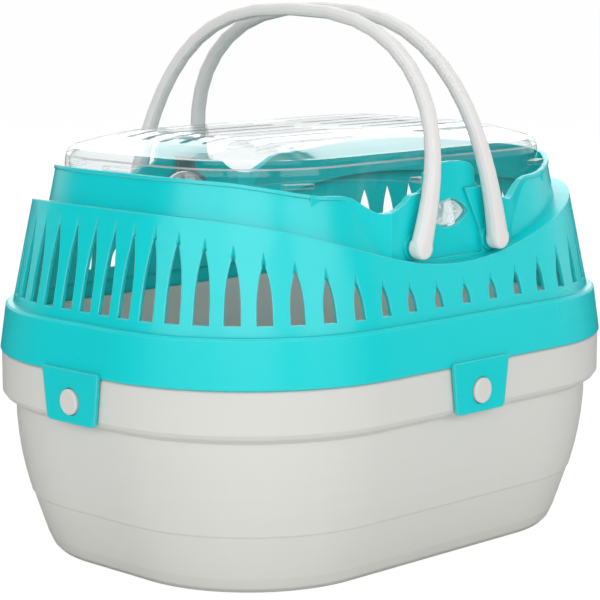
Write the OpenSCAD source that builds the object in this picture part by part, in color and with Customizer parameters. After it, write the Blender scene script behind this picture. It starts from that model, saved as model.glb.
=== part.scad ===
// Small-animal carrier: grey base tub, vented turquoise upper shell, clear lid, two latch buttons
// and two bail handles. Millimetres, +Z up, long axis on X, front long side towards -Y, origin at the
// middle of the base. Every wall follows one plan, a rectangle with large round corners, and an
// "inset" is the distance inside the plan's rim line.

/* [Plan of the body] */
// Length over the rim line
rim_l = 300; // [270:1:330]
// Width over the rim line
rim_w = 225; // [200:1:250]
// Radius of the four corners
corner_r = 90; // [84:1:100]

/* [Base tub] */
// Height of the tub's flange top, where the upper shell stands
tub_h = 98; // [85:1:110]
// Height of the flange
flange_h = 24.4; // [20:0.2:30]
// Inset of the flange's outer face
flange_inset = 0.7; // [0.5:0.1:2]
// Inset of the tub wall just under the flange
tub_wall_inset = 7; // [6:0.1:10]
// Inset of the tub's foot
tub_foot_inset = 24.4; // [20:0.2:28]
// Height of the crease round the tub
crease_z = 28.7; // [22:0.1:36]
// How far the wall has come out from the foot to the crease
crease_in = 10; // [8:0.1:12]
// Wall of the tub
tub_t = 2; // [1.6:0.1:3]
// Thickness of the tub's floor
floor_t = 2.2; // [1.6:0.1:3]
// Height of the raised rim above the flange top
spigot_h = 12; // [8:1:16]
// Clearance between the raised rim and the band
spigot_clear = 0.5; // [0.3:0.1:1]
// Radius of the studs on the flange
stud_r = 6; // [4:0.2:8]
// Distance of the studs' centres below the flange top
stud_drop = 12.5; // [10:0.5:15]
// How far the studs stand off the flange
stud_out = 4.1; // [3:0.1:6]

/* [Upper shell] */
// Wall of the upper shell
shell_t = 1.8; // [1.4:0.1:2.4]
// Seat clearance between the band and the flange top
seat_clear = 0.1; // [0:0.05:0.3]
// Height of the band. This and the heights that follow are measured from the tub's flange top
band_h = 22.7; // [18:0.1:27]
// Inset of the band's top edge
band_top_inset = 3.4; // [2:0.1:5]
// Width of the narrow shelf between the band and the vented wall
shelf_w = 3.1; // [2:0.1:5]
// Inward lean of the vented wall and collar, mm for each mm of height
lean = 0.21; // [0.15:0.01:0.26]
// Height of the step ledge at the ends
ledge_end_h = 75; // [68:0.5:78]
// Height of the step ledge in the middle of the long sides
ledge_mid_h = 46; // [40:0.5:52]
// Width of the step ledge
ledge_w = 8; // [6:0.2:10]
// Height of the collar's top edge at the ends
collar_end_h = 89.2; // [84:0.2:94]
// Height of the bottom of the V notches
notch_h = 71.5; // [66:0.5:76]
// Distance of the V notches from the middle
notch_x = 44; // [40:0.5:47]
// Length over which the collar's edge climbs out of a notch
notch_run = 20; // [16:0.5:24]
// How much lower the collar's edge is there than at the ends
collar_fall = 8.6; // [6:0.2:12]
// How far the collar's bead stands out
bead = 0.6; // [0.3:0.1:1]

/* [Vent slots] */
// Spaces between slots on a quarter of the body
slots_quarter = 14; // [10:1:18]
// Height of the slots' flat sills
sill_h = 27.4; // [25:0.1:32]
// Height of the slot tips at the ends
tip_end_h = 65.5; // [57:0.5:67]
// Height of the slot tips in the middle of the long sides
tip_mid_h = 36; // [32:0.5:40]
// Width of a slot at its sill, in the middle of the long sides
slot_w = 5.8; // [4:0.1:6.4]
// Width of a slot at its sill, at the ends and round the corners
slot_w_end = 7.4; // [5:0.1:7.8]
// Height of the flute above a slot's tip
flute_h = 5; // [3:0.5:7]
// Width of the flute at the tip
flute_w = 2.2; // [1.4:0.1:2.6]
// Share of the pitch that widens towards the long sides
pitch_gain = 0.13; // [0:0.01:0.2]

/* [Tabs] */
// Half width of a tab at the top
tab_top = 19.3; // [16:0.1:22]
// Half width of a tab at the bottom
tab_foot = 16.6; // [14:0.1:18]
// Distance of a tab's lower edge below the flange top
tab_drop = 22.5; // [18:0.1:24]
// Thickness of a tab
tab_t = 2; // [1.5:0.1:3]
// Clearance between a tab and the flange, and round its stud
tab_clear = 0.3; // [0.2:0.05:0.6]

/* [Towers] */
// Half width of a tower's flat front
tower_half = 41; // [39:0.5:43]
// Distance of a tower's front panel inside the rim line
tower_inset = 19.3; // [18.5:0.1:20]
// Height of the tower's shoulders
shoulder_h = 79.5; // [76:0.5:82]
// Half width of the tongue
tongue_half = 18; // [15:0.5:20]
// Height of the tongue's top
tongue_h = 92.5; // [86:0.5:96]
// Half width of the recess between the ears at its top
recess_top = 9; // [7:0.5:12]
// Half width of the recess by the pivots
recess_mid = 20; // [16:0.5:20.5]
// How far the ears stand proud of the tongue
ear_out = 1.6; // [1:0.1:2]
// Half width of the oval window
window_a = 13.5; // [11:0.1:15]
// Half height of the oval window
window_b = 6.6; // [5:0.1:8]
// Height of the window's centre
window_h = 68.4; // [65:0.1:71]

/* [Handles] */
// Distance of the pivots from the middle, along the body
pivot_x = 27; // [24:0.5:30]
// Height of the pivots
pivot_h = 55; // [54.5:0.1:56]
// How far the pivot bosses stand off the ears
boss_out = 1; // [0.6:0.1:2]
// Radius of the pivot pins
pin_r = 3; // [2.5:0.1:3.5]
// Running clearance of the pins in their bores, on the radius
pin_clear = 0.05; // [0.02:0.01:0.09]
// Clearance between the feet and the pivot bosses
foot_clear = 0.4; // [0.3:0.1:0.8]
// Height of the grip's middle line above the pivots
bail_h = 105.5; // [95:0.5:112]
// How far the grip leans in over the lid from its pivots
bail_in = 17; // [12:0.5:20]
// Thickness of the bail in its own plane
bail_w = 6; // [5:0.1:7]
// Thickness of the bail across its plane
bail_t = 7; // [6:0.1:8]
// Thickness of the feet, across the body
foot_t = 7.6; // [6.5:0.1:9]
// Width of the feet, along the body
foot_w = 10.4; // [9:0.1:11]

/* [Lid] */
// Inset of the lid's side at the height of its edge
lid_inset = 32.5; // [31.8:0.1:35]
// Height where the lid's side meets its rounded edge
lid_side_h = 90; // [88:0.5:92]
// Height of the lid's top at its rim
lid_rim_h = 97; // [94:0.5:100]
// Rise of the lid's dome above its rim
dome = 7; // [2:0.5:9]
// Height of the skirt's lower edge
skirt_h = 65; // [60:0.5:69]
// Outward lean of the lid's skirt, mm for each mm of height
skirt_lean = 0.02; // [0:0.01:0.05]
// Thickness of the lid
lid_t = 2; // [1.6:0.1:2.6]
// Clearance under the lugs
lug_clear = 0.3; // [0.2:0.05:0.6]
// Thickness of the lugs
lug_t = 2; // [1.5:0.1:3]
// Half width of the two end lugs
lug_end = 11; // [8:0.5:14]
// Half width of the four corner lugs
lug_corner = 7; // [5:0.5:9]
// Width of a slit
slit_w = 4.4; // [3:0.1:5]
// Distance between slits
slit_pitch = 13; // [10:0.5:15]
// Number of slits in each group
slits = 9; // [5:1:11]
// Distance of the slits' inner ends from the middle
slit_in = 12; // [8:1:24]
// Distance that the slits' outer ends keep from the lid's rim
slit_margin = 24; // [16:1:30]

/* [Latch buttons] */
// Clearance of a latch button's stem in the lid's slot
latch_clear = 0.4; // [0.3:0.05:0.6]
// Distance of a latch button's plate behind the window's wall
latch_back = 1.4; // [0.4:0.1:2]
// How far the plate reaches past the window's edge
latch_lap = 1.4; // [1:0.1:2.2]
// Thickness of a latch button's plate
latch_t = 2; // [1.6:0.1:2.6]
// Half width of the latch's stem
stem_half = 6; // [5:0.5:8]
// Height of the stem's middle
stem_h = 83; // [81:0.5:85]
// How far the stem reaches in past the lid's side
stem_in = 6; // [5:0.5:9]

/* [Hidden] */
$fn = 64;
// Centres of the corner arcs
corner_x = rim_l / 2 - corner_r;
corner_y = rim_w / 2 - corner_r;
// Seats that follow from the sizes above
band_z = tub_h + seat_clear;
wall_inset = band_top_inset + shelf_w;
tower_y = rim_w / 2 - tower_inset;
foot_y = tower_y + ear_out + boss_out + foot_clear + foot_t / 2;
// Heights above the surface that the carrier stands on
flange_z = tub_h - flange_h;
stud_z = tub_h - stud_drop;
tab_z = tub_h - tab_drop;
band_top_z = tub_h + band_h;
ledge_end_z = tub_h + ledge_end_h;
ledge_mid_z = tub_h + ledge_mid_h;
collar_end_z = tub_h + collar_end_h;
notch_z = tub_h + notch_h;
sill_z = tub_h + sill_h;
tip_end_z = tub_h + tip_end_h;
tip_mid_z = tub_h + tip_mid_h;
shoulder_z = tub_h + shoulder_h;
tongue_z = tub_h + tongue_h;
window_z = tub_h + window_h;
pivot_z = tub_h + pivot_h;
lid_side_z = tub_h + lid_side_h;
lid_rim_z = tub_h + lid_rim_h;
skirt_z = tub_h + skirt_h;
stem_z = tub_h + stem_h;
// Insets where the floor and the dome hand over to flat plates, and one that is clear inside the walls
stand = tub_h + 152;
core_in = corner_r - 15;
lid_core = corner_r - 5.5;
lid_flat = lid_core - 8;
deep = 50;

// Carries a profile, drawn with x = -inset and y = height, round the plan
module around() {
  for (q = [[1, 1, 0], [-1, 1, 90], [-1, -1, 180], [1, -1, 270]])
    translate([q[0] * corner_x, q[1] * corner_y, 0])
      rotate_extrude(start = q[2], angle = 90) translate([corner_r, 0]) children();
  for (a = [0, 180]) rotate(a) {
    translate([rim_l / 2, corner_y, 0]) rotate([90, 0, 0]) linear_extrude(2 * corner_y) children();
    translate([-corner_x, rim_w / 2, 0]) rotate([90, 0, 90]) linear_extrude(2 * corner_x) children();
  }
}
// Draws a front view, x along the body and y upwards, right through the body
module through() {
  translate([0, rim_w, 0]) rotate([90, 0, 0]) linear_extrude(2 * rim_w) children();
}
// Puts what is drawn at the middle of the front, at y = 0 and facing -Y, on the four sides
module on_sides() {
  for (s = [[0, rim_w / 2], [90, rim_l / 2], [180, rim_w / 2], [270, rim_l / 2]])
    rotate(s[0]) translate([0, -s[1], 0]) children();
}
module both_ends_turned() {
  for (a = [0, 180]) rotate(a) children();
}

// ---- base tub
// Inset of the tub wall below the crease, and above it where it stands ever steeper
function foot_in(z) = tub_foot_inset - crease_in * pow(z / crease_z, 0.93);
function side_in(z) = tub_wall_inset
  + (tub_foot_inset - crease_in - 0.5 - tub_wall_inset) * pow(1 - (z - crease_z) / (flange_z - crease_z), 2);
module floor_plate(z, h, inset) {
  translate([-rim_l / 2 + inset, -rim_w / 2 + inset, z]) cube([rim_l - 2 * inset, rim_w - 2 * inset, h]);
}
module base_tub() {
  t = tub_t;
  rim_top = tub_h + spigot_h;
  rim_in = band_inner(rim_top) + spigot_clear;
  color("gainsboro") {
    around() polygon(concat(
      [[-core_in, 0], [-tub_foot_inset - 4.5, 0], [-tub_foot_inset - 1.6, 0.6], [-tub_foot_inset + 0.6, 2.8]],
      [for (z = [8, 15, 22, crease_z]) [-foot_in(z), z]],
      [for (k = [0 : 4]) let (z = crease_z + 0.8 + k * 9) [-side_in(z), z]],
      [[-tub_wall_inset, flange_z - 0.4], [-tub_wall_inset + 1.2, flange_z + 0.4]],
      [[-flange_inset - 1.6, flange_z + 2.4], [-flange_inset, flange_z + 4.6]],
      [[-flange_inset, tub_h - 1], [-flange_inset - 0.8, tub_h], [-rim_in, tub_h], [-rim_in, rim_top]],
      [[-rim_in - t, rim_top], [-rim_in - t, flange_z + 5], [-tub_wall_inset - t, flange_z]],
      [for (z = [crease_z + 27, crease_z + 12]) [-side_in(z) - t, z]],
      [for (z = [crease_z, 16]) [-foot_in(z) - t, z]],
      [[-tub_foot_inset - t - 0.6, floor_t + 2.4], [-tub_foot_inset - t - 4, floor_t], [-core_in, floor_t]]
    ));
    floor_plate(0, floor_t, core_in - 3);
    // Studs moulded on the flange, which snap through the tabs
    on_sides() translate([0, flange_inset + 0.6, stud_z]) rotate([90, 0, 0]) rotate_extrude()
      polygon([[0, 0], [stud_r, 0], [stud_r, stud_out], [stud_r - 0.8, stud_out + 0.6], [0, stud_out + 0.6]]);
  }
}

// ---- upper shell
function band_inner(z) = shell_t + 0.4 + band_top_inset * (z - band_z) / (band_top_z - band_z);
function wall_in(z) = wall_inset + lean * (z - band_top_z);
function collar_in(z) = wall_in(z) + ledge_w;
// Height of the step ledge, which dips in the middle of the long sides
function ledge_z(x) = ledge_end_z - (ledge_end_z - ledge_mid_z) * pow(cos(180 * min(abs(x) / rim_l, 0.5)), 2);
// Height of the collar's edge, from the shoulders of the tower down into the notch and up to the ends
function collar_z(x) = let (d = abs(x) - notch_x)
  d < 0 ? min(shoulder_z, notch_z + 0.028 * d * d)
  : d < notch_run ? notch_z + (collar_end_z - collar_fall - notch_z) * (1 - cos(180 * d / notch_run)) / 2
  : collar_end_z - collar_fall * pow(cos(90 * min((d - notch_run) / 56, 1)), 1.6);
module above_ledge(drop) {
  through() polygon(concat([for (i = [-16 : 16]) let (x = i * rim_l / 32) [x, ledge_z(x) - drop]],
    [[rim_l, ledge_end_z - drop], [rim_l, stand], [-rim_l, stand], [-rim_l, ledge_end_z - drop]]));
}
// Places along the body where the collar's edge is worked out
collar_x = [
  rim_l / 2, for (d = [76, 64, 52, 40, 30, 20, 15, 10, 5, 2.5, 0, -4, -8, -12, -16]) notch_x + d,
  tongue_half + 3
];
module above_collar(lift) {
  half = [for (x = collar_x) [x, collar_z(x) + lift]];
  n = len(half) - 1;
  through() polygon(concat(
    [[-rim_l, stand + 5], [-rim_l, collar_end_z + lift]], [for (p = half) [-p.x, p.y]],
    [[-tongue_half, shoulder_z + 2], [-tongue_half + 0.6, tongue_z - 4.6]],
    [[-tongue_half + 4, tongue_z - 1.6]],
    [[-8, tongue_z - 0.3], [0, tongue_z], [8, tongue_z - 0.3]],
    [[tongue_half - 4, tongue_z - 1.6], [tongue_half - 0.6, tongue_z - 4.6], [tongue_half, shoulder_z + 2]],
    [for (i = [n : -1 : 0]) half[i]], [[rim_l, collar_end_z + lift], [rim_l, stand + 5]]
  ));
}
// The towers swell out of the collar in a curve that flattens away from them
swell = [[0, 0], [4.5, 2.6], [10, 5], [17, 7.2], [26, 9.2], [40, 11.6], [40, 24]];
module tower_block(t, z) {
  half = tower_half - t * 0.4;
  y = tower_y + ear_out - t;
  n = len(swell) - 1;
  both_ends_turned() translate([0, 0, z]) linear_extrude(stand + t - z) polygon(concat(
    [for (i = [n : -1 : 0]) [-half - swell[i].x, -y + swell[i].y]], [for (p = swell) [half + p.x, -y + p.y]]
  ));
}
module outer_body() {
  difference() {
    around() polygon([
      [-deep, band_z], [-0.4, band_z], [0, band_z + 0.6], [-band_top_inset * 0.55, band_top_z - 9],
      [-band_top_inset + 0.4, band_top_z - 1], [-band_top_inset - 0.5, band_top_z],
      [-wall_inset, band_top_z], [-wall_in(stand), stand], [-deep, stand]
    ]);
    intersection() {
      around() polygon([
        [10, band_z + 4], [-collar_in(band_z + 4), band_z + 4],
        [-collar_in(stand + 1), stand + 1], [10, stand + 1]
      ]);
      above_ledge(0);
    }
  }
  difference() {
    tower_block(0, ledge_mid_z - 6);
    // The panel and tongue between the ears lie back from them
    both_ends_turned() translate([0, -tower_y, 0]) rotate([90, 0, 0]) linear_extrude(ear_out + 4) {
      polygon([
        [-recess_top, shoulder_z], [-recess_mid, pivot_z + 5], [-recess_mid - 2, ledge_mid_z + 2.4],
        [recess_mid + 2, ledge_mid_z + 2.4], [recess_mid, pivot_z + 5], [recess_top, shoulder_z]
      ]);
      translate([-tower_half, shoulder_z - 0.01]) square([2 * tower_half, stand]);
    }
  }
}
module inner_body() {
  t = shell_t;
  difference() {
    around() polygon([
      [-deep - 1, band_z - 1], [-band_inner(band_z), band_z - 1],
      [-band_inner(band_top_z - t), band_top_z - t - 0.5],
      [-wall_inset - t + 0.5, band_top_z - t], [-wall_inset - t, band_top_z - t + 0.6],
      [-wall_in(stand) - t, stand + 1], [-deep - 1, stand + 1]
    ]);
    intersection() {
      around() polygon([
        [11, band_z + 3], [-collar_in(band_z + 3) - t, band_z + 3],
        [-collar_in(stand + 2) - t, stand + 2], [11, stand + 2]
      ]);
      above_ledge(t);
    }
  }
  tower_block(t + ear_out, ledge_mid_z - 8);
}
// A bead stands out along the collar's edge
module collar_bead() {
  difference() {
    intersection() {
      around() polygon([
        [-collar_in(notch_z - 6) + bead, notch_z - 6], [-collar_in(notch_z - 6) - 0.5, notch_z - 6],
        [-collar_in(stand) - 0.5, stand], [-collar_in(stand) + bead, stand]
      ]);
      difference() {
        above_collar(-1.6);
        through() translate([-tower_half - 4, 0]) square([2 * tower_half + 8, 2 * stand]);
      }
    }
    above_collar(0);
  }
}

// Arc length along a quarter of the vented wall, from the middle of an end to the middle of a side
wall_r = corner_r - wall_inset - 1;
corner_arc = wall_r * PI / 2;
quarter_arc = corner_y + corner_arc + corner_x;
function slot_s(i) = let (u = i / slots_quarter)
  quarter_arc * ((1 - pitch_gain) * u + pitch_gain * pow(u, 3.2));
// Place [x, y, angle] of a slot on the wall at its sill, in the first quarter
function slot_at(s) = let (r = corner_r - wall_in(sill_z), a = (s - corner_y) / wall_r * 180 / PI)
  a < 0 ? [corner_x + r, s, 0] : a < 90 ? [corner_x + r * cos(a), corner_y + r * sin(a), a]
  : [quarter_arc - s, corner_y + r, 90];
function tip_z(x) = tip_mid_z + (tip_end_z - tip_mid_z) * pow(min(1, abs(x) / (rim_l / 2 - wall_inset)), 1.9);
function slot_half(u) = let (side = pow(sin(90 * max(0, min(1, (u - 0.4) / 0.4))), 2))
  (slot_w_end + (slot_w - slot_w_end) * side) / 2;
// A slot is straight at its sill and closes to a pointed arch. Its outline goes straight in through
// the leaning wall, and a flute that fades out carries its tip upwards.
module slot(h, tall, depth) {
  rise = [0, 0.3, 0.5, 0.64, 0.76, 0.86, 0.94];
  rotate([90, 0, 90]) translate([0, 0, -4]) linear_extrude(depth + 6) polygon(concat(
    [for (u = rise) [-h * (1 - pow(u, 3)), u * tall]], [[0, tall]],
    [for (k = [6 : -1 : 0]) let (u = rise[k]) [h * (1 - pow(u, 3)), u * tall]]
  ));
  // Depth of the wall's face at the flute's upper end
  far = lean * (tall + flute_h);
  near = lean * tall;
  translate([0, 0, tall - 1.5]) linear_extrude(flute_h + 3) polygon([
    [-4, -flute_w / 2], [near, -flute_w / 2], [far, 0], [near, flute_w / 2], [-4, flute_w / 2]
  ]);
}
module slots() {
  for (i = [0 : slots_quarter]) {
    p = slot_at(slot_s(i));
    tall = tip_z(p.x) - sill_z;
    for (q = [[1, 1, 180], [-1, 1, 0], [-1, -1, 180], [1, -1, 0]])
      if ((i > 0 || q.y > 0) && (i < slots_quarter || q.x > 0))
        translate([p.x * q.x, p.y * q.y, sill_z])
          rotate(q.x * q.y > 0 ? p.z + (q.x > 0 ? 180 : 0) : (q.x > 0 ? 180 : 0) - p.z)
            slot(slot_half(i / slots_quarter), tall, lean * tall + shell_t);
  }
}
module tab() {
  difference() {
    translate([0, tab_clear - 0.1, 0]) rotate([90, 0, 0]) linear_extrude(tab_t) polygon([
      [-tab_top - 0.3, band_z + 2], [-tab_top, band_z], [-tab_foot, tab_z + 1.5], [-tab_foot + 1.5, tab_z],
      [tab_foot - 1.5, tab_z], [tab_foot, tab_z + 1.5], [tab_top, band_z], [tab_top + 0.3, band_z + 2]
    ]);
    translate([0, 2, stud_z]) rotate([90, 0, 0]) cylinder(h = tab_t + 4, r = stud_r + tab_clear);
  }
}
// The pointed oval of the latch window, as two arcs that meet at its ends
module window(grow) {
  r = (window_a * window_a + window_b * window_b) / (2 * window_b);
  intersection() {
    translate([0, window_z - window_b + r]) circle(r + grow);
    translate([0, window_z + window_b - r]) circle(r + grow);
  }
}
module tower_extras() {
  // A round boss on each ear, where a pivot is
  for (m = [0, 1]) mirror([m, 0, 0]) {
    translate([pivot_x, -tower_y - ear_out + 0.4, pivot_z]) rotate([90, 0, 0])
      cylinder(h = boss_out + 0.4, r = pin_r + 3.2);
  }
}
module upper_shell() {
  color("turquoise") difference() {
    union() {
      difference() {
        outer_body();
        inner_body();
        above_collar(0);
        slots();
      }
      collar_bead();
      on_sides() tab();
      both_ends_turned() tower_extras();
    }
    both_ends_turned() {
      for (x = [-pivot_x, pivot_x])
        translate([x, -tower_y + 6, pivot_z]) rotate([90, 0, 0]) cylinder(h = 16, r = pin_r + pin_clear);
      translate([0, -tower_y + 6, 0]) rotate([90, 0, 0]) linear_extrude(14) window(0);
    }
  }
}

// ---- lid
function lid_in(z) = lid_inset - skirt_lean * (lid_side_z - z);
module lid() {
  t = lid_t;
  i = lid_inset;
  bow = lid_flat - i - 5;
  color("azure") difference() {
    union() {
      around() polygon([
        [-lid_in(skirt_z) - t, skirt_z], [-lid_in(skirt_z), skirt_z], [-i, lid_side_z],
        [-i - 0.5, lid_side_z + 3], [-i - 1.6, lid_rim_z - 2],
        [-i - 3.2, lid_rim_z - 0.4], [-i - 5, lid_rim_z],
        for (k = [1 : 5]) [-i - 5 - bow * k / 5, lid_rim_z + dome * sin(18 * k)],
        [-lid_core, lid_rim_z + dome], [-lid_core, lid_rim_z + dome - t],
        for (k = [5 : -1 : 1]) [-i - 5 - bow * k / 5, lid_rim_z + dome * sin(18 * k) - t],
        [-i - 5.4, lid_rim_z - t],
        [-i - t - 1.4, lid_rim_z - t - 1.6], [-i - t, lid_side_z + 1]
      ]);
      floor_plate(lid_rim_z + dome - t, t, lid_core - 4);
      // Lugs that rest on the collar
      both_ends_turned() translate([rim_l / 2 - i - 1, -lug_end, collar_end_z + lug_clear])
        cube([lug_reach + 1, 2 * lug_end, lug_t]);
      for (q = [[1, 1, 0], [-1, 1, 180], [-1, -1, 180], [1, -1, 0]])
        translate([q.x * corner_x, q.y * corner_y, lug_z]) rotate(q.x * q.y * lug_a + q[2])
          translate([corner_r - i - 1, -lug_corner, 0]) cube([lug_reach + 1, 2 * lug_corner, lug_t]);
    }
    for (m = [0, 1], k = [0 : slits - 1]) mirror([m, 0, 0]) slit((k - (slits - 1) / 2) * slit_pitch);
    // Slots where the latch stems pass
    both_ends_turned()
      translate([-stem_half - latch_clear, -rim_w / 2 + i - 6, stem_z - latch_t / 2 - latch_clear])
      cube([2 * (stem_half + latch_clear), 12, latch_t + 2 * latch_clear]);
  }
}
lug_reach = lid_inset - collar_in(collar_end_z);
// The corner lugs point along the body's diagonals
lug_a = 67;
lug_x = corner_x + (corner_r - collar_in(collar_end_z)) * cos(lug_a);
lug_z = collar_z(lug_x + lug_corner + 1) + lug_clear;
module slit(y) {
  far = rim_l / 2 - lid_inset - slit_margin - 0.0045 * y * y;
  near = slit_in + 0.004 * y * y;
  r = slit_w / 2;
  translate([0, y, lid_rim_z - 6]) linear_extrude(dome + 12) {
    translate([near, -r]) square([far - near, 2 * r]);
    translate([near, 0]) circle(r);
    translate([far, 0]) circle(r);
  }
}

// ---- latch buttons
module latch() {
  y = tower_y - shell_t - latch_back;
  color("lightcyan") {
    translate([0, -y + latch_t, 0]) rotate([90, 0, 0]) linear_extrude(latch_t) window(latch_lap);
    translate([-stem_half, -y, window_z + window_b - 1])
      cube([2 * stem_half, latch_t, stem_z + latch_t / 2 - window_z - window_b + 1]);
    translate([-stem_half, -y, stem_z - latch_t / 2])
      cube([2 * stem_half, y - rim_w / 2 + lid_inset + stem_in, latch_t]);
  }
}
module front_latch() {
  latch();
}
module rear_latch() {
  rotate(180) latch();
}

// ---- handles
bail_n = 2.6;
// Middle line of the bail: [in over the lid, across, up] from the pivots' axis, for t from -1 to 1
function bail_at(t) = let (c = pow(cos(90 * t), 2 / bail_n), s = sign(t) * pow(abs(sin(90 * t)), 2 / bail_n))
  [bail_in * sin(90 * c), foot_y * s + 1.6 * s * sin(180 * c), bail_h * c];
function unit(v) = v / norm(v);
// Half sizes of the section: slim along the bail, flared to the foot
function flare(h) = pow(max(0, 1 - h / 62), 2);
bail_steps = 30;
function bail_ring(t) = let (
    p = bail_at(t), d = unit(bail_at(min(1, t + 0.01)) - bail_at(max(-1, t - 0.01))),
    u = unit(cross([1, 0, 0], d)), v = cross(d, u), f = flare(p.z),
    w = (bail_w + (foot_t - bail_w) * f) / 2, b = (bail_t + (foot_w - bail_t) * f) / 2
  ) [for (c = [[1, 0.35], [0.8, 0.8], [0.3, 1], [-0.3, 1], [-0.8, 0.8], [-1, 0.35], [-1, -0.35],
      [-0.8, -0.8], [-0.3, -1], [0.3, -1], [0.8, -0.8], [1, -0.35]]) p + u * w * c[0] + v * b * c[1]];
module bail() {
  rings = [for (i = [0 : bail_steps]) bail_ring(-sin(90 * (1 - 2 * i / bail_steps)))];
  k = len(rings[0]);
  n = len(rings);
  points = concat([for (r = rings) each r], [bail_at(-1), bail_at(1)]);
  polyhedron(points, concat(
    [for (i = [0 : n - 2], j = [0 : k - 1]) let (a = i * k, b = a + k, m = (j + 1) % k)
      each [[a + j, b + m, a + m], [a + j, b + j, b + m]]],
    [for (j = [0 : k - 1]) [j, (j + 1) % k, n * k]],
    [for (j = [0 : k - 1]) [(n - 1) * k + (j + 1) % k, (n - 1) * k + j, n * k + 1]]
  ), convexity = 6);
}
module handle() {
  bail();
  for (s = [-1, 1]) {
    // Round foot, then the pin that runs in the tower's bore
    translate([0, s * (foot_y + foot_t / 2), 0]) rotate([s * 90, 0, 0]) rotate_extrude()
      polygon([
        [0, 0], [foot_w / 2 - 1.9, 0], [foot_w / 2 - 0.5, 0.7], [foot_w / 2, 2],
        [foot_w / 2, foot_t - 1.6], [foot_w / 2 - 0.5, foot_t - 0.5], [foot_w / 2 - 1.6, foot_t], [0, foot_t]
      ]);
    translate([0, s * (foot_y - foot_t / 2 + 1), 0]) rotate([s * 90, 0, 0])
      cylinder(h = foot_y - foot_t / 2 + 1 - tower_y + shell_t + 1.5, r = pin_r);
  }
}
module handle_left() {
  color("whitesmoke") translate([-pivot_x, 0, pivot_z]) handle();
}
module handle_right() {
  color("whitesmoke") translate([pivot_x, 0, pivot_z]) rotate(180) handle();
}

base_tub();
upper_shell();
lid();
front_latch();
rear_latch();
handle_left();
handle_right();
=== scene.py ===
"""Small-animal carrier: grey tub, vented turquoise upper shell, clear lid with latch buttons, bail
handles."""
import math

import bpy
import numpy as np
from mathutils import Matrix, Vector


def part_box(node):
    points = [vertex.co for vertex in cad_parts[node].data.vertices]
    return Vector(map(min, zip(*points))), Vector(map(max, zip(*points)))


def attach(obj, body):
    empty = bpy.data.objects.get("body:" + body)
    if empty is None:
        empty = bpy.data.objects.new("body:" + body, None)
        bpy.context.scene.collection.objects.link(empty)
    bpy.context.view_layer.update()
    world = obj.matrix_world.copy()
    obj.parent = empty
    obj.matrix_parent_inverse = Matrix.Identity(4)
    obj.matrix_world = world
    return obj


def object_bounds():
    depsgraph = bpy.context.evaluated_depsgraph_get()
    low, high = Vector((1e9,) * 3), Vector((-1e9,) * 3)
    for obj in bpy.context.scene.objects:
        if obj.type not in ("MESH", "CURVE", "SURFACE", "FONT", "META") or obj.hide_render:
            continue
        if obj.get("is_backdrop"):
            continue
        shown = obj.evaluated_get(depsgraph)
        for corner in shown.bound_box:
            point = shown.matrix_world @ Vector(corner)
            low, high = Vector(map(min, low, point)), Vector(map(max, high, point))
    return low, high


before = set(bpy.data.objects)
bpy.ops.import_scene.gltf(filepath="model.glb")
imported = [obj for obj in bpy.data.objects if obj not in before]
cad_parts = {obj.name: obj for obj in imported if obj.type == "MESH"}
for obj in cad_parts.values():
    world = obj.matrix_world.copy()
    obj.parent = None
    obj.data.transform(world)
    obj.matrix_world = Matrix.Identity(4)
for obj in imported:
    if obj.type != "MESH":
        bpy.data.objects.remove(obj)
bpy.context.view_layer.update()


# ---- Base tub
# A deep injection-moulded tub in light grey polypropylene, with a soft satin skin. The flange, the
# raised rim that the upper shell slips over and the four studs are part of the same moulding.
TUB_GREY = (0.67, 0.67, 0.635)
CLOUD_CELLS = 14.0  # noise cells to the metre, for the drift of colour and roughness
CLOUD_DETAIL = 2.0
GRAIN_DETAIL = 3.0
SMOOTHEST, ROUGHEST = 0.9, 1.12  # as shares of a skin's roughness
SHADE_SAMPLES = 6  # rays with which an edge or a crease is felt out
# Painted highlight: outer edges turn paler where the rounded normal leans away from the flat one.
EDGE_STARTS, EDGE_HIGHLIGHT_FULL = 0.995, 0.8  # cosines between the flat and the rounded normal
# Painted shade: creases turn darker by how shut in a place is.
CREASE_REACH = 0.003
CREASE_SHUT, CREASE_GONE = 0.4, 0.95  # how open a place is, from deep in a crease to free of it
OUTER_STARTS, OUTER_FULL = 0.8, 0.97  # how open a place must be to count as an outer edge
CREASE_SHADE_SHARE = 0.22
CREASE_SHADE_TONE = 0.45
# How far the painted edge highlight goes towards white.
HIGHLIGHT_TO_WHITE = 0.6
POLYPROPYLENE_IOR = 1.49


def add_node(tree, kind, sockets=None, **settings):
    """Adds a shader node, sets its properties, and then the constants on its sockets."""
    made = tree.nodes.new("ShaderNode" + kind)
    for name, value in settings.items():
        setattr(made, name, value)
    for socket, value in (sockets or {}).items():
        made.inputs[socket].default_value = value
    return made


def noise(tree, place, cells, detail):
    """Noise with a number of cells to the metre, over the given coordinates."""
    made = add_node(tree, "TexNoise", {"Scale": cells, "Detail": detail})
    tree.links.new(place, made.inputs["Vector"])
    return made.outputs["Fac"]


def spread(tree, value, low, high, to_low, to_high):
    """Carries low..high to to_low..to_high in proportion, and holds what lies outside at the ends."""
    ends = {"From Min": low, "From Max": high, "To Min": to_low, "To Max": to_high}
    made = add_node(tree, "MapRange", ends)
    tree.links.new(value, made.inputs["Value"])
    return made.outputs["Result"]


def reckon(tree, operation, *values, **settings):
    """One Math node on outputs and plain numbers, in their order."""
    made = add_node(tree, "Math", operation=operation, **settings)
    for socket, value in zip(made.inputs, values):
        if isinstance(value, float):
            socket.default_value = value
        else:
            tree.links.new(value, socket)
    return made.outputs["Value"]


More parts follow.
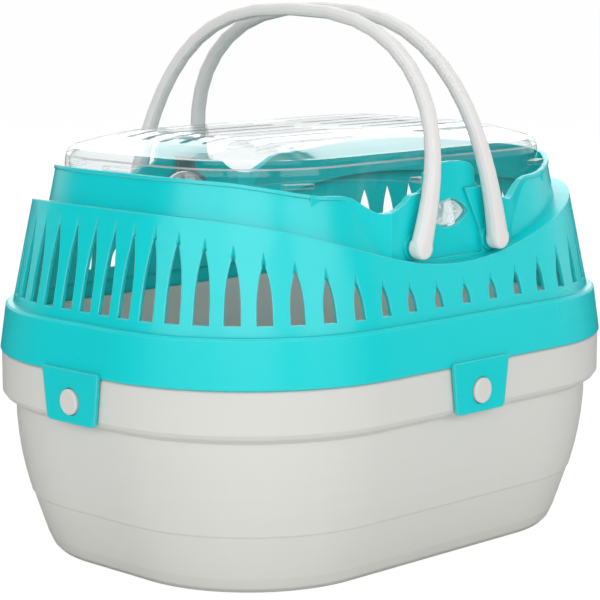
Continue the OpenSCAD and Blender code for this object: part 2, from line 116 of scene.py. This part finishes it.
def mix_colours(tree, share, first, second):
    """Goes from the first colour to the second by a share. A tuple is a plain colour."""
    made = add_node(tree, "Mix", data_type="RGBA")
    tree.links.new(share, made.inputs["Factor"])
    for name, colour in (("A", first), ("B", second)):
        if isinstance(colour, tuple):
            made.inputs[name].default_value = (*colour, 1)
        else:
            tree.links.new(colour, made.inputs[name])
    return made.outputs["Result"]


def relief(tree, height, depth, normal=None):
    """A bump whose height runs over the given depth in metres, on top of a normal."""
    made = add_node(tree, "Bump", {"Strength": 1.0, "Distance": depth})
    tree.links.new(height, made.inputs["Height"])
    if normal is not None:
        tree.links.new(normal, made.inputs["Normal"])
    return made.outputs["Normal"]


def round_edge(tree, radius):
    """The normal of a surface whose edges are rounded to the radius, and its cosine with the flat
    normal, which is 1 on a face and falls towards an edge."""
    rounded = add_node(tree, "Bevel", {"Radius": radius}, samples=SHADE_SAMPLES)
    flat = add_node(tree, "NewGeometry")
    cosine = add_node(tree, "VectorMath", operation="DOT_PRODUCT")
    tree.links.new(flat.outputs["True Normal"], cosine.inputs[0])
    tree.links.new(rounded.outputs["Normal"], cosine.inputs[1])
    return rounded.outputs["Normal"], cosine.outputs["Value"]


def moulded_skin(name, colour, roughness, grain_mm, grain_depth, drift, edge, shine, edge_highlight):
    """Plastic straight from the mould. Its colour drifts by the given share and its roughness varies
    with it, by noise on Object coordinates. A fine grain of noise cells grain_mm across is its relief.
    Edges shade as if rounded to the given radius, and the outer ones carry a painted highlight,
    paler by up to the given share. Creases carry painted shade and turn darker."""
    skin = bpy.data.materials.new(name)
    skin.use_nodes = True
    tree = skin.node_tree
    links = tree.links
    shader = tree.nodes["Principled BSDF"]
    place = add_node(tree, "TexCoord").outputs["Object"]
    cloud = noise(tree, place, CLOUD_CELLS, CLOUD_DETAIL)
    dark = tuple(c * (1 - drift) for c in colour)
    light = tuple(min(1, c * (1 + drift)) for c in colour)
    tint = mix_colours(tree, cloud, dark, light)
    sheen = spread(tree, cloud, 0.0, 1.0, roughness * SMOOTHEST, roughness * ROUGHEST)
    links.new(sheen, shader.inputs["Roughness"])
    rounded, turn = round_edge(tree, edge)
    grain = noise(tree, place, 1000.0 / grain_mm, GRAIN_DETAIL)
    links.new(relief(tree, grain, grain_depth, rounded), shader.inputs["Normal"])
    # Painted shade: creases turn darker, by ambient occlusion.
    crease = add_node(tree, "AmbientOcclusion", {"Distance": CREASE_REACH}, samples=SHADE_SAMPLES)
    openness = crease.outputs["AO"]
    # Painted highlight: the outer edges turn paler.
    edge_highlight_mask = spread(tree, turn, EDGE_STARTS, EDGE_HIGHLIGHT_FULL, 0.0, edge_highlight)
    outer = spread(tree, openness, OUTER_STARTS, OUTER_FULL, 0.0, 1.0)
    depth = spread(tree, openness, CREASE_SHUT, CREASE_GONE, CREASE_SHADE_SHARE, 0.0)
    crease_shaded = mix_colours(tree, depth, tint, tuple(c * CREASE_SHADE_TONE for c in colour))
    edge_highlight_colour = tuple(c + (1 - c) * HIGHLIGHT_TO_WHITE for c in colour)
    with_edge_highlight = mix_colours(tree, reckon(tree, "MULTIPLY", edge_highlight_mask, outer), crease_shaded, edge_highlight_colour)
    links.new(with_edge_highlight, shader.inputs["Base Color"])
    shader.inputs["IOR"].default_value = POLYPROPYLENE_IOR
    shader.inputs["Specular IOR Level"].default_value = shine
    return skin


def dress(node, skin):
    """Gives a CAD node its finish in every material slot that it has."""
    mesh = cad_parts[node].data
    if not mesh.materials:
        mesh.materials.append(skin)
    for k in range(len(mesh.materials)):
        mesh.materials[k] = skin


tub_skin = moulded_skin(
    "satin_grey_polypropylene", TUB_GREY,
    roughness=0.45, grain_mm=0.9, grain_depth=0.000012, drift=0.02, edge=0.0008, shine=0.2, edge_highlight=0.3,
)
dress("base_tub", tub_skin)

# ---- Upper shell
# One turquoise moulding with a higher gloss: band with tabs, vented wall, step ledge, collar with its
# V notches, and the two towers. It slips down over the tub's raised rim and its tabs snap on the studs.
TURQUOISE = (0.0, 0.64, 0.66)
shell_skin = moulded_skin(
    "glossy_turquoise_polypropylene", TURQUOISE,
    roughness=0.28, grain_mm=1.1, grain_depth=0.000005, drift=0.025, edge=0.0009, shine=0.5, edge_highlight=0.4,
)
dress("upper_shell", shell_skin)

# ---- Lid
# The lid is one moulding of clear polystyrene, 2 mm thick, polished outside, with two groups of slits,
# a turned-down rim and a skirt that drops inside the collar. Grey shade is painted along its edges.
# Painted shade along the lid's edges and along its rim line.
LID_EDGE_SHADE = (0.55, 0.51, 0.52)
LID_RIM_FALL = 0.0110  # from the top of the lid down to the line where the wall turns into the rim
LID_LINE_HALF = 0.0003
CLEAR_TINT = (0.975, 0.988, 0.99, 1)  # left of white light by each face
LAMP_TINT = (0.99, 0.995, 0.995, 1)  # the same for the light of the lamps
CLEAR_IOR = 1.42
RIPPLE_CELLS = 30.0
RIPPLE_DETAIL = 2.0
HAZE_STARTS, HAZE_FULL = 0.35, 0.65  # noise values
# Milky white of the flow haze, and of the painted highlights on the latch's cut face.
HAZE_AND_GLINT_WHITE = (0.93, 0.96, 0.96, 1)
MILK_ROUGHNESS = 0.35
EDGE_ROUGHNESS = 0.3
BEND_STARTS, BEND_FULL = 0.99, 0.75  # cosines between the flat and the rounded normal


def mix_shaders(tree, share, first, second):
    """Goes from the first shader to the second by a share."""
    made = add_node(tree, "MixShader")
    tree.links.new(share, made.inputs["Fac"])
    tree.links.new(first, made.inputs[1])
    tree.links.new(second, made.inputs[2])
    return made.outputs["Shader"]


def clear_plastic(name, painted_edge_colour, edge, painted_edge_share, haze, roughness, ripple_depth, line=None, cut=False):
    """Clear polystyrene. Its outer faces mirror by Fresnel's law with a faint ripple, and otherwise let
    light through unbent. Noise on Object coordinates gives the flow haze, between the two given shares,
    and on a cut face the piece's point attribute adds painted highlights in the same milky white. Near
    an edge, where the real moulding bends light away, the edge colour is painted in, and so it is at a
    line's height: painted shade where that colour is grey, a painted highlight where it is near white.
    Light from the lamps passes with a faint tint alone."""
    clear = bpy.data.materials.new(name)
    clear.use_nodes = True
    tree = clear.node_tree
    links = tree.links
    place = add_node(tree, "TexCoord").outputs["Object"]
    ripple = noise(tree, place, RIPPLE_CELLS, RIPPLE_DETAIL)
    rippled = relief(tree, ripple, ripple_depth)

    open_way = add_node(tree, "BsdfTransparent", {"Color": CLEAR_TINT})
    mirror = add_node(tree, "BsdfGlossy", {"Color": (1, 1, 1, 1), "Roughness": roughness})
    fresnel = add_node(tree, "Fresnel", {"IOR": CLEAR_IOR})
    links.new(rippled, mirror.inputs["Normal"])
    links.new(rippled, fresnel.inputs["Normal"])
    behind = add_node(tree, "NewGeometry").outputs["Backfacing"]
    outside = reckon(tree, "SUBTRACT", 1.0, behind)
    mirrored = reckon(tree, "MULTIPLY", fresnel.outputs["Fac"], outside)
    wall = mix_shaders(tree, mirrored, open_way.outputs["BSDF"], mirror.outputs["BSDF"])

    # Flow haze by noise, and on a cut face painted highlights, both in milky white.
    haze_and_glints = spread(tree, ripple, HAZE_STARTS, HAZE_FULL, haze[0], haze[1])
    if cut:
        painted_glint = add_node(tree, "Attribute", attribute_name="painted_glint")
        haze_and_glints = reckon(tree, "MAXIMUM", haze_and_glints, painted_glint.outputs["Fac"])
    haze_and_glint_white = add_node(tree, "BsdfPrincipled", {"Base Color": HAZE_AND_GLINT_WHITE, "Roughness": MILK_ROUGHNESS})
    with_haze_and_glints = mix_shaders(tree, haze_and_glints, wall, haze_and_glint_white.outputs["BSDF"])

    # Painted along edges and at the line: shade on the lid, highlights on the latch.
    turn = round_edge(tree, edge)[1]
    painted_edge = spread(tree, turn, BEND_STARTS, BEND_FULL, 0.0, painted_edge_share)
    if line is not None:
        height = add_node(tree, "SeparateXYZ")
        links.new(place, height.inputs["Vector"])
        on_line = reckon(tree, "COMPARE", height.outputs["Z"], line[0], line[1])
        painted_edge = reckon(tree, "MAXIMUM", painted_edge, reckon(tree, "MULTIPLY", on_line, painted_edge_share))
    shader = tree.nodes["Principled BSDF"]
    shader.inputs["Base Color"].default_value = (*painted_edge_colour, 1)
    shader.inputs["Roughness"].default_value = EDGE_ROUGHNESS
    with_painted_edge = mix_shaders(tree, painted_edge, with_haze_and_glints, shader.outputs["BSDF"])

    lamp_way = add_node(tree, "BsdfTransparent", {"Color": LAMP_TINT})
    from_lamp = add_node(tree, "LightPath").outputs["Is Shadow Ray"]
    passed = mix_shaders(tree, from_lamp, with_painted_edge, lamp_way.outputs["BSDF"])
    links.new(passed, tree.nodes["Material Output"].inputs["Surface"])
    return clear


lid_top = float(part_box("lid")[1][2])
# Grey painted shade lies along the lid's edges and along the line where its wall turns into the rim.
lid_clear = clear_plastic(
    "clear_polystyrene", LID_EDGE_SHADE,
    edge=0.0007, painted_edge_share=0.6, haze=(0.0, 0.012), roughness=0.09, ripple_depth=0.0002,
    line=(lid_top - LID_RIM_FALL, LID_LINE_HALF),
)
dress("lid", lid_clear)

# ---- Latch buttons
# Each latch button is a clear plate behind its oval window. A cut face is moulded on the plate: a
# raised rim round a hollow, with one upright ridge in the middle. Painted highlights in milky white lie
# on its rim, on a wedge along the ridge and on rays.
WINDOW_A = 0.0135  # half the window's length
WINDOW_B = 0.0066  # half its height
PLATE_LAP = 0.0014  # how far the plate reaches past the window
FACE_GAP = 0.0004  # left between the outlines of the face and the window
FACE_RISE = 0.0010
FACE_SUNK = 0.0002  # how far the face's back lies inside the plate
FACE_RINGS, FACE_SPOKES = 14, 72
RIM_MIDDLE, RIM_HALF = 0.9, 0.1  # shares of the way out
RIDGE_HALF = 0.002
HOLLOW_RISE, RIDGE_RISE, FAN_RISE = 0.2, 0.75, 0.18  # shares of FACE_RISE
FAN_END = 0.8
FAN_FOLDS, RAYS = 4, 9
RAY_START, RAY_END = 0.25, 0.74
RAY_GAIN, RAY_RAMP, RAY_LEVEL = 1.6, 4, 0.8
RIM_GLINT_STARTS = 0.87
WEDGE_HALF, WEDGE_TAPER, WEDGE_CORE = 0.0016, 0.12, 1.5
GLINT_MILK_SHARE = 0.85
# Painted highlights at the edges of the latch plate and of its cut face.
LATCH_EDGE_HIGHLIGHT = (0.9, 0.95, 0.95)
FACE_EDGE_HIGHLIGHT = (0.97, 0.98, 0.98)


def oval_face(name, base, side):
    """A closed cut face on a pointed oval, its middle at base, facing -Y for side 1 and +Y for -1.

    A point lies at share s of the way from the middle to the outline at turn u. The outline is
    x = a cos u, with z the height over x of an arc of radius (a^2 + b^2) / 2b. The rise is the larger
    of a half-round rim, sqrt(1 - ((s - middle) / half)^2), and a hollow that holds a ridge,
    exp(-(x / half)^2) (1 - s^2), and a fan of folds, s |sin 4v|, with v the angle of the point. A
    point attribute, from 0 to 0.85, marks the painted highlights, shown milky white: the rim, a wedge
    that widens downwards along the ridge, and rays where cos 9w is above 0, with w the angle on the
    oval drawn out round."""
    a, b = WINDOW_A - FACE_GAP, WINDOW_B - FACE_GAP
    rings, spokes = FACE_RINGS, FACE_SPOKES
    radius = (a * a + b * b) / (2 * b)
    u = np.linspace(0, 2 * np.pi, spokes, endpoint=False)
    s = np.linspace(0, 1, rings + 1)[1:]
    edge_x = a * np.cos(u)
    edge_z = np.sign(np.sin(u)) * (np.sqrt(radius**2 - edge_x**2) - (radius - b))
    x, z = np.outer(s, edge_x), np.outer(s, edge_z)
    share = np.repeat(s[:, None], spokes, 1)

    rim = np.sqrt(np.clip(1 - ((share - RIM_MIDDLE) / RIM_HALF) ** 2, 0, 1))
    ridge = np.exp(-((x / RIDGE_HALF) ** 2)) * (1 - share**2)
    fan = np.abs(np.sin(FAN_FOLDS * np.arctan2(z, x))) * share * (share < FAN_END)
    rise = FACE_RISE * np.maximum(rim, HOLLOW_RISE + RIDGE_RISE * ridge + FAN_RISE * fan)
    rise[-1] = 0.0
    top = FACE_RISE * (HOLLOW_RISE + RIDGE_RISE)
    front = np.stack([x, -rise, z], -1).reshape(-1, 3)
    back = np.stack([x[-1], np.full(spokes, FACE_SUNK), z[-1]], -1)
    verts = np.concatenate([[[0, -top, 0]], front, back, [[0, FACE_SUNK, 0]]])

    k = np.arange(spokes)
    k1 = (k + 1) % spokes
    i, j = np.meshgrid(np.arange(rings), k, indexing="ij")
    j1 = (j + 1) % spokes
    inner, outer = 1 + i * spokes, 1 + (i + 1) * spokes
    hub = np.stack([1 + k, 1 + k1, np.zeros_like(k)], -1)
    quads = np.stack([outer + j, outer + j1, inner + j1, inner + j], -1).reshape(-1, 4)
    last = 1 + rings * spokes
    tail = np.stack([np.full_like(k, last + spokes), last + k1, last + k], -1)
    mesh = bpy.data.meshes.new(name)
    placed = verts * (side, side, 1) + base
    mesh.from_pydata(placed.tolist(), [], hub.tolist() + quads.tolist() + tail.tolist())
    mesh.polygons.foreach_set("use_smooth", np.ones(len(mesh.polygons), bool))

    # Painted highlights: milky white on rays, on a wedge along the ridge and on the rim.
    turn = np.arctan2(z / b, x / a)
    rays = np.clip(np.cos(RAYS * turn) * RAY_GAIN, 0, 1)
    rays *= RAY_LEVEL * np.clip((share - RAY_START) * RAY_RAMP, 0, 1) * (share < RAY_END)
    wedge = np.clip(WEDGE_CORE - np.abs(x) / (WEDGE_HALF - WEDGE_TAPER * z), 0, 1)
    wedge *= share < FAN_END
    glints = GLINT_MILK_SHARE * np.maximum(np.maximum(rays, wedge), share > RIM_GLINT_STARTS)
    values = np.concatenate([[GLINT_MILK_SHARE], glints.ravel(), np.zeros(spokes + 1)]).astype(np.float32)
    mesh.attributes.new("painted_glint", "FLOAT", "POINT").data.foreach_set("value", values)
    return mesh


latch_clear = clear_plastic(
    "clear_latch_polystyrene", LATCH_EDGE_HIGHLIGHT,
    edge=0.0007, painted_edge_share=0.6, haze=(0.05, 0.2), roughness=0.1, ripple_depth=0.0001,
)
# The cut face carries painted highlights in milky white, from its point attribute.
face_clear = clear_plastic(
    "cut_clear_polystyrene", FACE_EDGE_HIGHLIGHT,
    edge=0.0004, painted_edge_share=0.6, haze=(0.1, 0.3), roughness=0.08, ripple_depth=0.00005, cut=True,
)
for node, side in (("front_latch", 1), ("rear_latch", -1)):
    dress(node, latch_clear)
    low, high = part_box(node)
    plate_y = low[1] if side > 0 else high[1]
    face_mesh = oval_face(node + "_face", (0, plate_y, low[2] + WINDOW_B + PLATE_LAP), side)
    face_mesh.materials.append(face_clear)
    face = bpy.data.objects.new(node + "_face", face_mesh)
    bpy.context.scene.collection.objects.link(face)
    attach(face, node)

# ---- Handles
# Two bails in light warm grey polypropylene. Each is one moulding with its round feet and the pins
# that snap into the towers' bores.
HANDLE_GREY = (0.77, 0.76, 0.75)
handle_skin = moulded_skin(
    "satin_handle_polypropylene", HANDLE_GREY,
    roughness=0.4, grain_mm=0.8, grain_depth=0.00001, drift=0.02, edge=0.0008, shine=0.2, edge_highlight=0.0,
)
for piece in ("handle_left", "handle_right"):
    dress(piece, handle_skin)

# ---- Studio
# A pale floor that runs far out, soft lamps and the camera at the photograph's place. None of it is
# part of the carrier.
FLOOR_R = 40.0
FLOOR_RINGS, FLOOR_SPOKES = 12, 64
FLOOR_PAINT = (0.9, 0.9, 0.9, 1)
FLOOR_ROUGHNESS = 0.9
FLOOR_SHARE = 0.92  # of plain white in the floor's look; the rest keeps the shadow
FLOOR_WHITE = 1.05
FLOOR_MIRRORED = 0.04  # the floor's strength as the glossy faces see it
AMBIENT = 0.33
BACKDROP_WAY = (0.7, 0.7, 0.0)
BACKDROP_STARTS, BACKDROP_FULL = 0.25, 0.65
BACKDROP_DIM, BACKDROP_WHITE = 0.02, 1.0
WHITE = (1, 1, 1, 1)


def round_floor(radius, rings, spokes):
    """A flat disc at height 0: points at radius r_i and angle a_j, with r growing as the square of i."""
    r = radius * (np.arange(1, rings + 1) / rings) ** 2
    a = np.linspace(0, 2 * np.pi, spokes, endpoint=False)
    grid = np.stack([np.outer(r, np.cos(a)), np.outer(r, np.sin(a)), np.zeros((rings, spokes))], -1)
    verts = np.concatenate([[[0, 0, 0]], grid.reshape(-1, 3)])
    i, j = np.meshgrid(np.arange(rings - 1), np.arange(spokes), indexing="ij")
    a0, b0 = 1 + i * spokes + j, 1 + i * spokes + (j + 1) % spokes
    quads = np.stack([a0, a0 + spokes, b0 + spokes, b0], -1).reshape(-1, 4)
    k = np.arange(spokes)
    hub = np.stack([np.zeros_like(k), 1 + k, 1 + (k + 1) % spokes], -1)
    mesh = bpy.data.meshes.new("studio_floor")
    mesh.from_pydata(verts.tolist(), [], hub.tolist() + quads.tolist())
    return mesh


def seen_plainly(tree):
    """A Light Path node, and 1 for a ray from the camera or one that came through something clear."""
    path = add_node(tree, "LightPath")
    through = path.outputs["Is Transmission Ray"]
    return path, reckon(tree, "MAXIMUM", path.outputs["Is Camera Ray"], through)


floor = bpy.data.objects.new("studio_floor", round_floor(FLOOR_R, FLOOR_RINGS, FLOOR_SPOKES))
bpy.context.scene.collection.objects.link(floor)
floor_white = bpy.data.materials.new("studio_white")
floor_white.use_nodes = True
tree = floor_white.node_tree
paint = tree.nodes["Principled BSDF"]
paint.inputs["Base Color"].default_value = FLOOR_PAINT
paint.inputs["Roughness"].default_value = FLOOR_ROUGHNESS
paint.inputs["Specular IOR Level"].default_value = 0.0
path, plainly = seen_plainly(tree)
paper = add_node(tree, "Emission", {"Color": WHITE, "Strength": FLOOR_WHITE})
dim = add_node(tree, "Emission", {"Color": WHITE, "Strength": FLOOR_MIRRORED})
white_share = reckon(tree, "MULTIPLY", plainly, FLOOR_SHARE)
lit = mix_shaders(tree, white_share, paint.outputs["BSDF"], paper.outputs["Emission"])
glossy, through = path.outputs["Is Glossy Ray"], path.outputs["Is Transmission Ray"]
gloss_only = reckon(tree, "SUBTRACT", glossy, through, use_clamp=True)
ground = mix_shaders(tree, gloss_only, lit, dim.outputs["Emission"])
tree.links.new(ground, tree.nodes["Material Output"].inputs["Surface"])
floor.data.materials.append(floor_white)
floor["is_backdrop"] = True

# The air is white to the camera and through clear plastic. Glossy faces see it white behind the
# carrier, low down, and dark elsewhere. It lights the rest at a plain level.
world = bpy.data.worlds.new("studio_air")
world.use_nodes = True
bpy.context.scene.world = world
tree = world.node_tree
air = tree.nodes["Background"]
air.inputs["Color"].default_value = WHITE
path, plainly = seen_plainly(tree)
behind = add_node(tree, "VectorMath", {1: BACKDROP_WAY}, operation="DOT_PRODUCT")
tree.links.new(add_node(tree, "TexCoord").outputs["Generated"], behind.inputs[0])
backdrop = spread(
    tree, behind.outputs["Value"], BACKDROP_STARTS, BACKDROP_FULL, BACKDROP_DIM, BACKDROP_WHITE
)
ambient = add_node(tree, "Mix", {"A": AMBIENT})
tree.links.new(path.outputs["Is Glossy Ray"], ambient.inputs["Factor"])
tree.links.new(backdrop, ambient.inputs["B"])
level = reckon(tree, "MAXIMUM", ambient.outputs["Result"], plainly)
tree.links.new(level, air.inputs["Strength"])

# Each soft box: name, place, height of the point it faces over the middle, width, height, watts.
SOFT_BOXES = (
    ("left_box", (-2.0, -0.1, 0.8), 0.12, 1.4, 0.85, 9),
    ("key_box", (-1.45, -1.4, 0.8), 0.12, 1.4, 0.85, 12),
    ("right_box", (0.05, -2.0, 0.8), 0.12, 1.4, 0.85, 9.5),
    ("far_right_box", (1.8, -1.0, 0.5), 0.12, 1.2, 0.8, 2.5),
    ("back_box", (1.5, 1.45, 0.95), 0.15, 1.7, 1.0, 9),
    ("top_box", (0.1, 0.1, 1.9), 0.1, 1.6, 1.6, 13),
)
CAMERA_PLACE = (-0.7751, -0.7702, 0.2874)
CAMERA_AIM = (0.0, 0.0, 0.1)


def facing(place, aim):
    """The turn that points an object's -Z from its place at a point, with its own top kept up."""
    way = np.array(aim, float) - np.array(place, float)
    pitch = math.atan2(way[2], math.hypot(way[0], way[1]))
    return math.pi / 2 + pitch, 0, math.atan2(way[1], way[0]) - math.pi / 2


for name, place, aim_height, width, height, watts in SOFT_BOXES:
    lamp = bpy.data.lights.new(name, "AREA")
    lamp.shape = "RECTANGLE"
    lamp.size, lamp.size_y, lamp.energy = width, height, watts
    holder = bpy.data.objects.new(name, lamp)
    holder.location = place
    holder.rotation_euler = facing(place, (0, 0, aim_height))
    bpy.context.scene.collection.objects.link(holder)

lens = bpy.data.cameras.new("photo_camera")
lens.sensor_width = 36.0
lens.lens = 133.5
lens.shift_x = -0.0113
lens.shift_y = 0.0498
lens.clip_end = 200.0
camera = bpy.data.objects.new("photo_camera", lens)
camera.location = CAMERA_PLACE
camera.rotation_euler = facing(CAMERA_PLACE, CAMERA_AIM)
bpy.context.scene.collection.objects.link(camera)
bpy.context.scene.camera = camera
bpy.context.scene.view_settings.view_transform = "Standard"

low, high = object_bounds()
